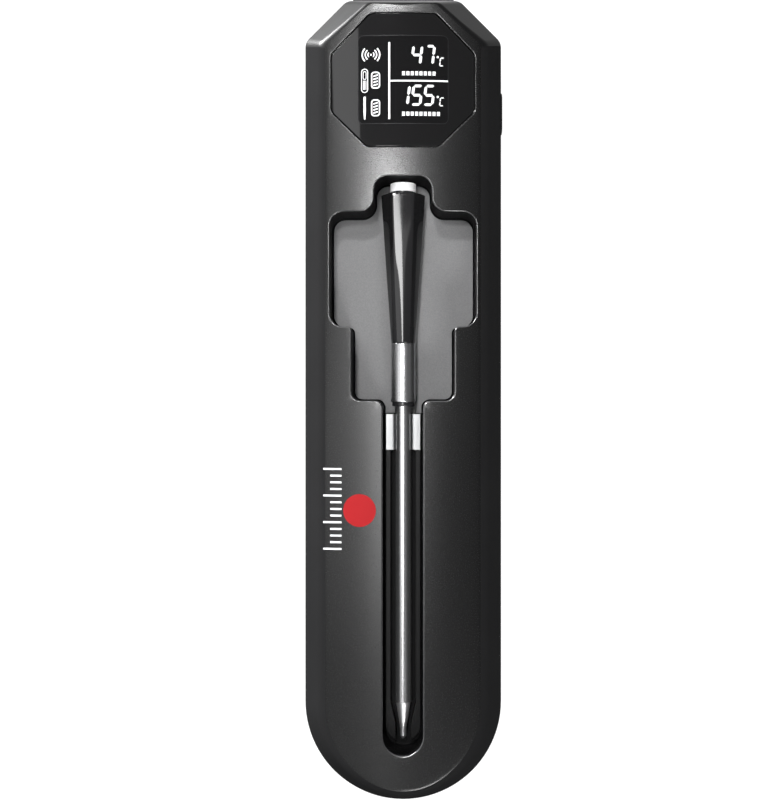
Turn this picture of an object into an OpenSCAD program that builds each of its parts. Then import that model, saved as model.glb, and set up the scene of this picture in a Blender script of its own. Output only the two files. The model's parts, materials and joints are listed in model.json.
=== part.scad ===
// Wireless meat thermometer: a cordless probe lying in its charging dock.
// The dock lies on its back. X is across the dock, Y runs towards the display end,
// Z comes out of the front face. The origin is on the rest face, under the middle.

/* [Dock] */
// Length of the dock
dock_l = 193.6; // [192:0.2:198]
// Width of the dock
dock_w = 47.5; // [46.5:0.5:49]
// Height of the front face above the rest face
dock_t = 22; // [21.5:0.1:22.5]
// Radius of the curve across the front face
crown_r = 100; // [90:5:140]
// Leg of the two chamfers at the display end
end_chamfer = 10; // [8:0.5:11]
// Thickness of the case walls
wall = 2; // [1.8:0.1:2.2]
// Height of the line where the two case halves meet
split_z = 7; // [6.8:0.1:7.2]

/* [Display] */
// Half width of the display window
window_x = 17.1; // [16.8:0.1:17.3]
// End of the window nearest the tray
window_y0 = 60; // [59.9:0.1:60.4]
// End of the window nearest the end of the dock
window_y1 = 91.7; // [91.4:0.1:91.9]
// Height of the window lens's flat back
lens_z = 18.95; // [18.9:0.05:19]
// Step from the front face down to the window
lens_step = 0.1; // [0.1:0.05:0.2]

/* [Tray] */
// Height of the grey tray floor
floor_z = 10.5; // [10.3:0.1:10.6]
// Half width of the finger bays beside the handle
bay_x = 17.5; // [17:0.1:17.7]
// Half width of the groove for the shaft
groove_x = 4.8; // [4.7:0.02:4.9]
// Height of the ledges along the groove
ledge_z = 16.2; // [16:0.1:16.3]

/* [Probe] */
// Height of the probe's axis in the dock
axis_z = 15.5; // [15.4:0.1:15.6]
// Radius of the shaft
shaft_r = 2; // [1.9:0.05:2]
// Radius of the steel ferrule
ferrule_r = 3; // [2.8:0.05:3]
// Width of the handle across its corners, at the cap
handle_w = 10.8; // [10:0.1:10.8]

/* [Hidden] */
$fn = 64;
tiny = 0.01;

half_l = dock_l / 2;
half_w = dock_w / 2;
end_y = -half_l + half_w;      // centre of the round end
shoulder_z = 15.5;             // where the bevel starts on the side walls
crown_z = dock_t - crown_r;    // height of the crown's axis
end_steps = 48;                // straight steps round the half circle end
pad_proud = 0.5;               // the rubber pad stands this far out of the cover
pad_t = 1.1;
rear_pad_x = 14;
rear_pad_y0 = -80;
rear_pad_y1 = 88;
pad_corner = 6;
cover_edge = 2;                // chamfer round the back
cover_floor = pad_proud + 2;   // inside floor of the rear cover
corner_r = 3;

// Depth of the bevel round the front: sides, end chamfers, display end, round end
bevel_side = 6;
bevel_diag = 6;
bevel_top = 2.7;
bevel_end = 3.1;

// The tray: lobe for the cap, finger bays, neck for the ferrule
lobe_x = 6.87;
lobe_y = 53.1;
bay_y1 = 44.75;
bay_y0 = 17.45;
neck_x = 12.3;
neck_y0 = -0.2;
tray_r = 3.3;                  // radius of the tray's large corners
plate_t = 1.2;                 // thickness of the tray floor
liner = 1.2;                   // wall round the tray and the groove

// The groove: two ledges stand beside a channel, clear of the groove's walls
step_y = -3.1;                 // the ledges start here
groove_end_y = -84.35;
ledge_x = 4.2;
ledge_end_y = -78.4;           // centre of the ledges' round end
channel_x = 3;
channel_z = 13.3;
tip_x = 1.8;                   // half width of the channel beside the tip
block_z = 12;                  // underside of the groove's floor

lens_gap = 0.1;
tape_t = 0.25;
screen_x = 11.8;
screen_y0 = 64.6;
screen_y1 = 88.2;
screen_z0 = 16.1;
screen_z1 = 18.6;
frame_z0 = 14.1;

board_z0 = 5;
board_z1 = 6.2;
board_x = 14;                  // half width of the board
board_y0 = 10;
board_y1 = 90;
wing_x = 19;                   // the board reaches out to here under the switch
wing_half = 6;
pad_y0 = 11.3;                 // solder blocks of the leads
pad_y1 = 14;
pad_z = 8.4;
lead_z = 7.4;
lead_x = -5.5;                 // between the two battery leads
lead_gap = 1;
shield_x = 8;
shield_y0 = 20;
shield_y1 = 38;
shield_h = 2.2;
shield_sheet = 0.3;
buzzer_at = [-6.5, 51];
buzzer_r = 4.5;
buzzer_h = 2.6;
cell_x = 14.4;
cell_y0 = -62;
cell_y1 = -10;
cell_z = 9.3;
foam_t = 0.8;
magnet_r = 5;
magnet_t = 1.5;
socket_x = 4.47;
socket_y0 = 88;
socket_y1 = 95.3;
socket_h = 3.26;
socket_wall = 0.3;
tongue_x = 3.3;
switch_half = 3;
switch_x0 = 14.2;
switch_x1 = 18.6;
switch_z = 12.2;
button_y = 70.65;
button_l = 10.3;
button_t = 3.6;
button_z = 10;
button_proud = 0.6;

port_z = 7.83;
flap_x = 12.3;
flap_axis_y = half_l - 1.05;
flap_axis_z = 3.75;
flap_top = 14;
flap_gap = 0.1;
pin_x = 13.3;                  // half length of the flap's pin
rib_x = 13.6;                  // half width of the rib behind the flap

probe_y0 = -82.1;
cone_y = -73;
seal_y = -1.5;
ferrule_y = -0.5;
handle_y = 13.6;
cap_y = 49.6;                  // end of the grip
cap_gap = 0.65;                // length of the insulating ring
cap_top = 52.3;
clip_y0 = -12;
clip_y1 = -3.4;
clip_x0 = 2.2;                 // inner and outer edge of the clip's flanges
clip_x1 = 4.1;
clip_t = 0.3;
clip_z = 12.6;                 // underside of the clip
clip_tail_y = -8;
plunger_r = 0.75;
sleeve_y = lobe_y + 7.2;       // closed end of the plunger's sleeve
spring_y0 = lobe_y + 2.35;     // first and last turn of the plunger's spring
spring_y1 = lobe_y + 6.4;
spring_turns = 6;

case_screw_at = [for (x = [-17.5, 17.5], y = [-60, 8, 80]) [x, y]];
board_screw_at = [for (x = [-11.5, 11.5], y = [14, 60]) [x, y]];
magnet_at = [for (x = [-8.5, 8.5], y = [-76, 28]) [x, y]];

// ---- outlines -------------------------------------------------------------

function unit(v) = v / norm(v);

// Points of the arc of radius r that rounds corner b between a and c
function corner_arc(a, b, c, r, n) =
    let (u = unit(a - b), v = unit(c - b), half = acos(u * v) / 2,
         m = b + unit(u + v) * r / sin(half),
         s = b + u * r / tan(half) - m, e = b + v * r / tan(half) - m,
         a0 = atan2(s[1], s[0]), turn = atan2(e[1], e[0]) - a0,
         sweep = turn > 180 ? turn - 360 : turn < -180 ? turn + 360 : turn)
    [for (i = [0:n]) m + r * [cos(a0 + sweep * i / n), sin(a0 + sweep * i / n)]];

// A closed outline through sharp corners, each given as [x, y, radius]
function rounded(c, n = 8) =
    [for (i = [0:len(c) - 1])
        let (a = c[(i + len(c) - 1) % len(c)], b = c[i], d = c[(i + 1) % len(c)])
        each corner_arc([a[0], a[1]], [b[0], b[1]], [d[0], d[1]], b[2], n)];

// The corners of an outline given for x > 0, and the same mirrored
function both_sides(c) = concat(c, [for (i = [len(c) - 1:-1:0]) [-c[i][0], c[i][1], c[i][2]]]);

// The dock's outline, pulled in by an amount at its sides, chamfers and two ends
function case_points(side, diag, top, end, r) =
    let (x = half_w - side, y = half_l - top, k = half_w + half_l - end_chamfer - diag * sqrt(2),
         a = [x, end_y], b = [x, k - x], c = [k - y, y], bl = [-b[0], b[1]], cl = [-c[0], c[1]])
    concat([for (i = [0:end_steps])
               [0, end_y] + [x * cos(180 + 180 * i / end_steps),
                             (half_w - end) * sin(180 + 180 * i / end_steps)]],
           corner_arc(a, b, c, r, 8), corner_arc(b, c, cl, r, 8),
           corner_arc(c, cl, bl, r, 8), corner_arc(cl, bl, [-x, end_y], r, 8));

module case_outline(inset = 0) polygon(case_points(inset, inset, inset, inset, corner_r - inset / 2));

module slab(z0, z1) translate([0, 0, z0]) linear_extrude(z1 - z0) children();

module box(x0, x1, y0, y1, z0, z1) translate([x0, y0, z0]) cube([x1 - x0, y1 - y0, z1 - z0]);

// A cylinder lying along Y, and one lying along X
module along_y(x, z, y0, y1, r) translate([x, y0, z]) rotate([-90, 0, 0]) cylinder(r = r, h = y1 - y0);
module along_x(y, z, x0, x1, r) translate([x0, y, z]) rotate([0, 90, 0]) cylinder(r = r, h = x1 - x0);
module post(at, z0, z1, r) translate([at[0], at[1], z0]) cylinder(r = r, h = z1 - z0);

// Everything under the front face, at a depth below it
module under_crown(depth = 0)
    translate([0, -half_l - 5, crown_z]) rotate([-90, 0, 0])
        cylinder(r = crown_r - depth, h = dock_l + 10, $fn = 360);

function window_corners(gap) =
    let (x = window_x - gap, y1 = window_y1 - gap, y0 = window_y0 + gap, top = 9.4, low = 8.6)
    both_sides([[x - low, y0, 2.4], [x, y0 + low, 2.4], [x, y1 - top, 2.4], [x - top, y1, 2.4]]);

module window_outline(gap = 0) polygon(rounded(window_corners(gap)));

// Finger bays, lobe and neck of the tray, with the start of the groove
module tray_outline()
    polygon(rounded(both_sides([[groove_x, step_y, tiny], [groove_x, neck_y0, 1.7],
                                [neck_x, neck_y0, 2.2], [neck_x, bay_y0, 1],
                                [bay_x, bay_y0, tray_r], [bay_x, bay_y1, tray_r],
                                [lobe_x, bay_y1, tray_r], [lobe_x, lobe_y, tray_r]])));

// A strip along the groove from y to a round end of radius r about end_y
module round_ended(r, y, end_y)
    polygon(concat([[r, y], [-r, y]],
                   [for (i = [0:24]) [0, end_y] + r * [cos(180 + 7.5 * i), sin(180 + 7.5 * i)]]));

module groove_outline() round_ended(groove_x, step_y, groove_end_y + groove_x);

module channel_outline() {
    side = [[channel_x, step_y + 1], [channel_x, cone_y], [tip_x, ledge_end_y], [tip_x, groove_end_y]];
    polygon(concat(side, [for (i = [len(side) - 1:-1:0]) [-side[i][0], side[i][1]]]));
}

module ledges() slab(channel_z - tiny, ledge_z) difference() {
    round_ended(ledge_x, step_y, ledge_end_y);
    channel_outline();
}

module screen_outline(grow = 0)
    translate([-screen_x - grow, screen_y0 - grow])
        square([2 * (screen_x + grow), screen_y1 - screen_y0 + 2 * grow]);

module button_outline(grow = 0) {
    run = button_l / 2 - button_t / 2;
    hull() for (s = [-1, 1]) translate([0, s * run]) circle(r = button_t / 2 + grow);
}

// A solid with the button's outline, along X through the side wall
module button_solid(x0, x1, grow = 0)
    translate([x0, button_y, button_z]) rotate([0, 90, 0]) linear_extrude(x1 - x0) button_outline(grow);

// ---- case -----------------------------------------------------------------

module outer_form() intersection() {
    hull() {
        slab(split_z, shoulder_z) polygon(case_points(0, 0, 0, 0, corner_r));
        slab(dock_t, dock_t + tiny)
            polygon(case_points(bevel_side, bevel_diag, bevel_top, bevel_end, 2));
    }
    under_crown();
}

module shell_cavity() hull() {
    slab(split_z - 1, 14.2) case_outline(wall);
    slab(19.2, 19.3) polygon(case_points(7.2, 7, 4.2, 4.6, 1));
}

// What stands inside the hollow of the front shell
module shell_inner() {
    slab(floor_z, dock_t) offset(r = liner) tray_outline();
    slab(block_z, dock_t) offset(r = liner) groove_outline();
    slab(screen_z0, dock_t) offset(r = 1.5) window_outline();
    for (at = case_screw_at) post(at, split_z - 1, 17, 2.5);
    box(-1.8, 1.8, lobe_y, sleeve_y - 0.1, axis_z - 1.8, dock_t);
}

module port_cut() {
    box(-4.75, 4.75, 92, half_l + 1, port_z - 1.9, port_z + 1.9);
    side = flap_x + flap_gap;
    box(-side, side, half_l - 1.1, half_l + 1, flap_axis_z + 1.5, flap_top + flap_gap);
    box(-side, side, half_l - 2.2, half_l + 1, 2.6, flap_axis_z + 1.55);
}

module front_shell() color("#26272a") {
    difference() {
        outer_form();
        difference() {
            shell_cavity();
            shell_inner();
        }
        slab(floor_z - 1, dock_t + 1) tray_outline();
        slab(channel_z, dock_t + 1) groove_outline();
        box(-clip_x0 - 0.4, clip_x0 + 0.4, clip_y0 - 0.1, clip_y1 + 0.1, clip_z - 0.1, ledge_z);
        box(-1.2, 1.2, clip_tail_y - 0.4, clip_tail_y + 0.4, block_z - 1, clip_z + 0.4);
        slab(lens_z - tape_t, dock_t + 1) window_outline();
        slab(frame_z0, dock_t) screen_outline(0.1);
        along_y(0, axis_z, lobe_y - 1, lobe_y + 8, plunger_r + 0.06);
        along_y(0, axis_z, lobe_y + 1.2, lobe_y + 8, 1.45);
        button_solid(half_w - wall - 1, half_w + 1, 0.08);
        for (at = case_screw_at) post(at, split_z - 2, 14.2, 1.02);
        port_cut();
    }
    ledges();
}

module tray_floor() color("#7d7e80") slab(floor_z - plate_t, floor_z)
    union() {
        offset(r = liner - 0.05) tray_outline();
        translate([-groove_x - 1, step_y - 1.2]) square([2 * groove_x + 2, 3]);
    }

module rear_cover() color("#1d1e20") difference() {
    union() {
        difference() {
            hull() {
                slab(pad_proud + cover_edge, split_z) polygon(case_points(0, 0, 0, 0, corner_r));
                slab(pad_proud, pad_proud + tiny) case_outline(cover_edge);
            }
            slab(cover_floor, split_z + 1) case_outline(wall);
        }
        box(-rib_x, rib_x, 93.2, half_l - wall + tiny, cover_floor - tiny, split_z);
        for (at = case_screw_at) post(at, cover_floor - tiny, split_z, 2.9);
        for (at = board_screw_at) post(at, cover_floor - tiny, board_z0, 2);
        for (at = magnet_at) difference() {
            post(at, cover_floor - tiny, cover_floor + magnet_t - 0.3, magnet_r + 1);
            post(at, cover_floor - 1, cover_floor + 2, magnet_r + 0.06);
        }
    }
    for (at = case_screw_at) {
        post(at, 0, 3, 2.35);
        post(at, 0, split_z + 1, 1.2);
    }
    for (at = board_screw_at) post(at, cover_floor - 0.6, board_z0 + 1, 0.92);
    slab(0, pad_t) rear_pad_outline(0.08);
    slab(split_z - 0.5, split_z + 1) seal_outline(0.04);
    port_cut();
    along_x(flap_axis_y, flap_axis_z, -pin_x - 0.05, pin_x + 0.05, 0.42);
}

// A narrow band that runs round the split, outside the screw posts
module seal_outline(grow) difference() {
    case_outline(0.8 - grow);
    case_outline(1.4 + grow);
    translate([-flap_x - 1, 90]) square([2 * flap_x + 2, 10]);
}

module case_seal() color("#404040") slab(split_z - 0.46, split_z) seal_outline(0);

module rear_pad_outline(grow = 0)
    polygon(rounded([[-rear_pad_x - grow, rear_pad_y0 - grow, pad_corner],
                     [rear_pad_x + grow, rear_pad_y0 - grow, pad_corner],
                     [rear_pad_x + grow, rear_pad_y1 + grow, pad_corner],
                     [-rear_pad_x - grow, rear_pad_y1 + grow, pad_corner]]));

// Rubber pad that the dock stands on, with shallow grip lines across it
module rear_pad() color("#141414") difference() {
    slab(0, pad_t) rear_pad_outline();
    for (y = [rear_pad_y0 + 4:8:rear_pad_y1 - 4])
        box(-rear_pad_x + 3, rear_pad_x - 3, y - 0.5, y + 0.5, -1, 0.3);
}

module case_screws() color("#8a8c90") for (at = case_screw_at) difference() {
    union() {
        post(at, 1.3, 3, 2.1);
        post(at, 2.9, 13.4, 1);
    }
    for (a = [0, 90]) translate([at[0], at[1], 1.2]) rotate([0, 0, a]) translate([-1.2, -0.25, 0])
        cube([2.4, 0.5, 0.9]);
}

module dock_magnets() color("#b9bcc0") for (at = magnet_at)
    post(at, cover_floor, cover_floor + magnet_t, magnet_r);

// ---- display --------------------------------------------------------------

// Flat at the back, curved with the front face
module display_lens() color("#050506") intersection() {
    slab(lens_z, dock_t + 1) window_outline(lens_gap);
    under_crown(lens_step);
}

module lens_adhesive() color("#1a1a1a")
    slab(lens_z - tape_t, lens_z) difference() {
        window_outline(0.5);
        screen_outline(0.15);
    }

module display_module() color("#101316") slab(screen_z0, screen_z1) screen_outline();

module display_frame() color("#cfd1d3") difference() {
    slab(frame_z0, screen_z0) screen_outline(1.6);
    slab(frame_z0 - 1, screen_z0 + 1) screen_outline(-3);
}

module display_flex() color("#b5762c") {
    box(-4, 4, 68.6, 80, screen_z0 - 0.2, screen_z0);
    box(-4, 4, 68.6, 68.8, board_z1 + 1, screen_z0 - 0.2);
    box(-4.8, 4.8, 67.6, 69.8, board_z1, board_z1 + 1);
}

// ---- electronics ----------------------------------------------------------

module main_board() color("#14532d") difference() {
    union() {
        box(-board_x, board_x, board_y0, board_y1, board_z0, board_z1);
        box(board_x - 1, wing_x, button_y - wing_half, button_y + wing_half, board_z0, board_z1);
    }
    for (at = board_screw_at) post(at, board_z0 - 1, board_z1 + 1, 1.1);
}

module board_screws() color("#9a9ca0") for (at = board_screw_at) {
    post(at, board_z1, board_z1 + 1.1, 1.7);
    post(at, cover_floor, board_z1 + 0.1, 0.9);
}

module radio_shield() color("#a8abae") difference() {
    box(-shield_x, shield_x, shield_y0, shield_y1, board_z1, board_z1 + shield_h);
    box(-shield_x + shield_sheet, shield_x - shield_sheet, shield_y0 + shield_sheet,
        shield_y1 - shield_sheet, board_z1 - 1, board_z1 + shield_h - shield_sheet);
}

module buzzer() color("#202020") difference() {
    post(buzzer_at, board_z1, board_z1 + buzzer_h, buzzer_r);
    post(buzzer_at, board_z1 + buzzer_h - 1, board_z1 + buzzer_h + 1, 0.8);
}

module usb_socket() color("#c3c5c8") difference() {
    box(-socket_x, socket_x, socket_y0, socket_y1, board_z1, board_z1 + socket_h);
    difference() {
        box(-socket_x + socket_wall, socket_x - socket_wall, socket_y0 + 1.2, socket_y1 + 1,
            board_z1 + socket_wall, board_z1 + socket_h - socket_wall);
        box(-tongue_x, tongue_x, socket_y0 + 1, socket_y1 - 0.9, port_z - 0.35, port_z + 0.35);
    }
}

module side_switch() color("#2a2a2a") difference() {
    box(switch_x0, switch_x1, button_y - switch_half, button_y + switch_half, board_z1, switch_z);
    along_x(button_y, button_z, switch_x1 - 1.6, switch_x1 + 0.4, 1.25);
}

module switch_plunger() color("#d8d2c0") along_x(button_y, button_z, switch_x1 - 1, switch_x1 + 2, 1.2);

module side_button() color("#1c1d1f") {
    button_solid(half_w - wall - 0.4, half_w + button_proud);
    button_solid(switch_x1 + 2, half_w - wall - 0.15, 0.7);
}

module battery_cell() color("#9fb3c8") {
    box(-cell_x, cell_x, cell_y0, cell_y1, cover_floor + foam_t, cell_z);
    box(-cell_x + 1, cell_x - 1, cell_y1, cell_y1 + 2, cover_floor + foam_t, cell_z - 0.5);
}

module battery_foam() color("#303030")
    box(-cell_x + 2.4, cell_x - 2.4, cell_y0 + 4, cell_y1 - 4, cover_floor, cover_floor + foam_t);

module battery_leads() color("#b02020") for (x = [lead_x - lead_gap, lead_x + lead_gap]) {
    along_y(x, lead_z, cell_y1 + 2, pad_y0 + 0.1, 0.55);
    box(x - 0.9, x + 0.9, pad_y0, pad_y1, board_z1, pad_z);
}

// A wire from the clip to the board, and a strip from the sleeve down to the board
module contact_leads() color("#303050") {
    box(-0.4, 0.4, clip_tail_y + 0.1, clip_tail_y + 0.8, lead_z - 0.4, clip_z - 1.7);
    along_y(0, lead_z, clip_tail_y + 0.4, pad_y0 + 0.1, 0.4);
    box(-0.8, 0.8, pad_y0, pad_y1, board_z1, pad_z);
    box(-0.5, 0.5, sleeve_y, sleeve_y + 0.3, board_z1, axis_z + 0.8);
}

// ---- charging contacts ----------------------------------------------------

// Bent sheet: two flanges on the ledges, two legs down beside the shaft, and a base
module contact_clip() color("#d5d7da") {
    leg = clip_x0 + clip_t;
    box(-clip_x1, -clip_x0, clip_y0, clip_y1, ledge_z, ledge_z + clip_t);
    box(clip_x0, clip_x1, clip_y0, clip_y1, ledge_z, ledge_z + clip_t);
    box(-leg, -clip_x0, clip_y0, clip_y1, clip_z, ledge_z + clip_t);
    box(clip_x0, leg, clip_y0, clip_y1, clip_z, ledge_z + clip_t);
    box(-leg, leg, clip_y0, clip_y1, clip_z, clip_z + clip_t);
    box(-0.9, 0.9, clip_tail_y - 0.15, clip_tail_y + 0.15, clip_z - 1.7, clip_z + 0.1);
}

module contact_sleeve() color("#c9a13b") difference() {
    along_y(0, axis_z, lobe_y + 1.25, sleeve_y, 1.4);
    along_y(0, axis_z, lobe_y - 1, sleeve_y - 0.6, 1.15);
}

module contact_plunger() color("#d9b44a") {
    along_y(0, axis_z, cap_top + 0.06, lobe_y + 2.2, plunger_r);
    along_y(0, axis_z, lobe_y + 1.35, lobe_y + 2.2, 1.1);
}

// A coil spring as rings of points along a helix, joined into one closed wire
module contact_spring() color("#b8babd") {
    sides = 6;
    steps = spring_turns * 12;
    rings = [for (i = [0:steps], j = [0:sides - 1])
        let (a = 30 * i, b = 360 * j / sides, r = 0.85 + 0.13 * cos(b),
             y = spring_y0 + (spring_y1 - spring_y0) * i / steps)
        [r * cos(a), y + 0.13 * sin(b), axis_z - r * sin(a)]];
    walls = [for (i = [0:steps - 1], j = [0:sides - 1])
        let (k = (j + 1) % sides, p = i * sides, q = p + sides) [p + j, p + k, q + k, q + j]];
    ends = [[for (j = [sides - 1:-1:0]) j], [for (j = [0:sides - 1]) steps * sides + j]];
    polyhedron(points = rings, faces = concat(walls, ends));
}

// ---- port flap ------------------------------------------------------------

module port_flap() color("#6c6d6f") difference() {
    union() {
        along_x(flap_axis_y, flap_axis_z, -flap_x, flap_x, 1);
        box(-flap_x, flap_x, flap_axis_y - 0.7, flap_axis_y + 0.9, flap_axis_z, flap_axis_z + 1.3);
        box(-flap_x, flap_x, flap_axis_y + 0.15, half_l + 1.2, flap_axis_z + 1.15, flap_top);
        box(-4.2, 4.2, half_l - 1.5, half_l, port_z - 1.4, port_z + 1.4);
    }
    along_x(flap_axis_y, flap_axis_z, -flap_x - 1, flap_x + 1, 0.45);
}

module flap_pin() color("#b0b2b5") along_x(flap_axis_y, flap_axis_z, -pin_x, pin_x, 0.4);

// ---- probe ----------------------------------------------------------------

module probe_cap() color("#e4e5e6") {
    along_y(0, axis_z, cap_y + cap_gap, cap_top, 3.1);
    along_y(0, axis_z, cap_y - 2.5, cap_y + cap_gap + 0.1, 1.4);
}

module cap_insulator() color("#2b2b2d") difference() {
    along_y(0, axis_z, cap_y, cap_y + cap_gap, 2.9);
    along_y(0, axis_z, cap_y - 1, cap_y + 1, 1.45);
}

// Six-sided tapered grip, flat side up
module probe_handle() color("#0c0c0d") difference() {
    translate([0, handle_y, axis_z]) rotate([-90, 0, 0])
        cylinder(r1 = 3.15, r2 = handle_w / 2, h = cap_y - handle_y, $fn = 6);
    along_y(0, axis_z, handle_y - 1, cap_y - 4, 2.2);
    along_y(0, axis_z, handle_y - 1, cap_y + 1, 1.45);
}

module probe_ferrule() color("#cfd1d3") difference() {
    union() {
        along_y(0, axis_z, ferrule_y, handle_y, ferrule_r);
        along_y(0, axis_z, handle_y - 0.1, handle_y + 3.5, 2.15);
    }
    along_y(0, axis_z, ferrule_y - 1, 5, shaft_r + 0.02);
    along_y(0, axis_z, 4, handle_y + 4, 1.5);
}

module ferrule_seal() color("#111111") difference() {
    along_y(0, axis_z, seal_y, ferrule_y, 2.7);
    along_y(0, axis_z, seal_y - 1, ferrule_y + 1, shaft_r + 0.02);
}

module probe_shaft() color("#d3d5d7") difference() {
    along_y(0, axis_z, cone_y, 4.9, shaft_r);
    along_y(0, axis_z, cone_y - 1, 6, shaft_r - 0.45);
}

module probe_tip() color("#dcdddf") {
    along_y(0, axis_z, cone_y, cone_y + 3, shaft_r - 0.5);
    translate([0, cone_y, axis_z]) rotate([90, 0, 0]) {
        rotate_extrude() polygon([[0, 0], [1.75, 0], [1.75, 0.25], [0.9, 5.75], [0.9, 6.1], [0.8, 6.2],
                                  [0.8, 8.3], [0.4, 8.9], [0, cone_y - probe_y0]]);
    }
}

module probe_antenna() color("#e8e2d2") along_y(0, axis_z, 20, 40, 1.1);

module probe_board() color("#14532d") box(-1.2, 1.2, -38, -6, axis_z - 0.3, axis_z + 0.3);

module probe_cell() color("#9fb3c8") along_y(0, axis_z, -66, -40, 1.3);

module ambient_sensor() color("#c8b070") translate([0, 44, axis_z]) sphere(r = 0.9);

module tip_sensor() color("#c8b070") translate([0, -69, axis_z]) sphere(r = 0.9);

// ---- nodes ----------------------------------------------------------------

front_shell();
tray_floor();
display_lens();
lens_adhesive();
display_module();
display_frame();
display_flex();
main_board();
board_screws();
radio_shield();
buzzer();
usb_socket();
side_switch();
switch_plunger();
side_button();
battery_cell();
battery_foam();
battery_leads();
contact_clip();
contact_leads();
contact_sleeve();
contact_spring();
contact_plunger();
rear_cover();
case_seal();
case_screws();
dock_magnets();
rear_pad();
port_flap();
flap_pin();
probe_cap();
cap_insulator();
probe_handle();
probe_ferrule();
ferrule_seal();
probe_shaft();
probe_tip();
probe_antenna();
probe_board();
probe_cell();
ambient_sensor();
tip_sensor();
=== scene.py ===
import json
import math

import bpy
import bmesh
import numpy as np
from mathutils import Matrix, Vector
from mathutils.geometry import delaunay_2d_cdt


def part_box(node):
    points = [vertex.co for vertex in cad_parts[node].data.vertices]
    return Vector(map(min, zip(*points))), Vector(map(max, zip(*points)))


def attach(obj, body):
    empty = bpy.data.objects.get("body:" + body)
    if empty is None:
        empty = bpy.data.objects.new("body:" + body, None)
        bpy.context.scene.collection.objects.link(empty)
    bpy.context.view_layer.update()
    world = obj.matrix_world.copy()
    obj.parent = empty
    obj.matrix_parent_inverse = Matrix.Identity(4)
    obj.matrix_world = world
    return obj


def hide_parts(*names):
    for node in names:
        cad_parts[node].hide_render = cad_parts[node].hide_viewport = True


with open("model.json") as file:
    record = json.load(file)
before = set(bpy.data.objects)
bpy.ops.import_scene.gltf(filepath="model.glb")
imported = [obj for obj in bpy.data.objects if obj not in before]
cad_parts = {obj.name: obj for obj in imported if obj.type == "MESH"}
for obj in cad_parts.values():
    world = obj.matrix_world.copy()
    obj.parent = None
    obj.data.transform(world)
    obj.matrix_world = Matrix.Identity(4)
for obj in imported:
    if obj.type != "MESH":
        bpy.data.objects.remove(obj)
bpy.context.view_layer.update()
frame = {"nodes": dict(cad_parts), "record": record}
MM = 0.001


def mm_box(node):
    low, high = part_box(node)
    return [c / MM for c in low], [c / MM for c in high]


# ---- sizes, in millimetres, read from the frame or as in the CAD source -------
SHELL_LOW, SHELL_HIGH = mm_box("front_shell")
HALF_W = -SHELL_LOW[0]
HALF_L = -SHELL_LOW[1]
DOCK_T = SHELL_HIGH[2]
SPLIT_Z = SHELL_LOW[2]
CROWN_R = 100.0
END_Y = -HALF_L + HALF_W
SHOULDER_Z = 15.5
END_CHAMFER = 10.0
CORNER_R = 3.0
BEVEL = dict(side=6.0, diag=6.0, top=2.7, end=3.1)

LENS_LOW, LENS_HIGH = mm_box("display_lens")
LENS_GAP = 0.1
WINDOW_X = LENS_HIGH[0] + LENS_GAP
WINDOW_Y0, WINDOW_Y1 = LENS_LOW[1] - LENS_GAP, LENS_HIGH[1] + LENS_GAP
LENS_STEP = 0.1         # the window lies this far below the front face

FLOOR_Z = mm_box("tray_floor")[1][2]
LOBE_X, LOBE_Y = 6.87, 53.1
BAY_X, BAY_Y0, BAY_Y1 = 17.5, 17.45, 44.75
NECK_X, NECK_Y0 = 12.3, -0.2
TRAY_R = 3.3
GROOVE_X = 4.8
STEP_Y = -3.1
GROOVE_END_Y = -84.35
LEDGE_X, LEDGE_Z, LEDGE_END_Y = 4.2, 16.2, -78.4
CHANNEL_X, CHANNEL_Z, CHANNEL_END_Y, TIP_X = 3.0, 13.3, -73.0, 1.8

PROBE_LOW, PROBE_HIGH = mm_box("probe_handle")
AXIS_Z = 15.5
HANDLE_Y, CAP_Y = PROBE_LOW[1], PROBE_HIGH[1]
HANDLE_R = PROBE_HIGH[0]


# ---- outlines --------------------------------------------------------------
def corner_arc(a, b, c, r, n=8):
    """Points of the arc of radius r that rounds corner b between a and c."""
    a, b, c = (np.array(p[:2], float) for p in (a, b, c))
    u = (a - b) / np.linalg.norm(a - b)
    v = (c - b) / np.linalg.norm(c - b)
    half = math.acos(float(u @ v)) / 2
    m = b + (u + v) / np.linalg.norm(u + v) * r / math.sin(half)
    s = b + u * r / math.tan(half) - m
    e = b + v * r / math.tan(half) - m
    a0 = math.atan2(s[1], s[0])
    turn = math.atan2(e[1], e[0]) - a0
    turn -= 2 * math.pi * round(turn / (2 * math.pi))
    return [m + r * np.array([math.cos(a0 + turn * i / n), math.sin(a0 + turn * i / n)])
            for i in range(n + 1)]


def rounded(corners, n=8):
    """A closed outline through sharp corners, each given as (x, y, radius)."""
    k = len(corners)
    out = []
    for i in range(k):
        out += corner_arc(corners[i - 1], corners[i], corners[(i + 1) % k], corners[i][2], n)
    return out


def both_sides(corners):
    return corners + [(-x, y, r) for x, y, r in reversed(corners)]


def case_points(side, diag, top, end, r):
    """The dock's outline, pulled in by an amount at its sides, chamfers and two ends."""
    x, y = HALF_W - side, HALF_L - top
    k = HALF_W + HALF_L - END_CHAMFER - diag * math.sqrt(2)
    a, b, c = (x, END_Y), (x, k - x), (k - y, y)
    bl, cl = (-b[0], b[1]), (-c[0], c[1])
    steps = 48
    out = [np.array([-x * math.cos(math.pi * i / steps),
                     END_Y - (HALF_W - end) * math.sin(math.pi * i / steps)]) for i in range(steps + 1)]
    return (out + corner_arc(a, b, c, r) + corner_arc(b, c, cl, r)
            + corner_arc(c, cl, bl, r) + corner_arc(cl, bl, (-x, END_Y), r))


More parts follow.
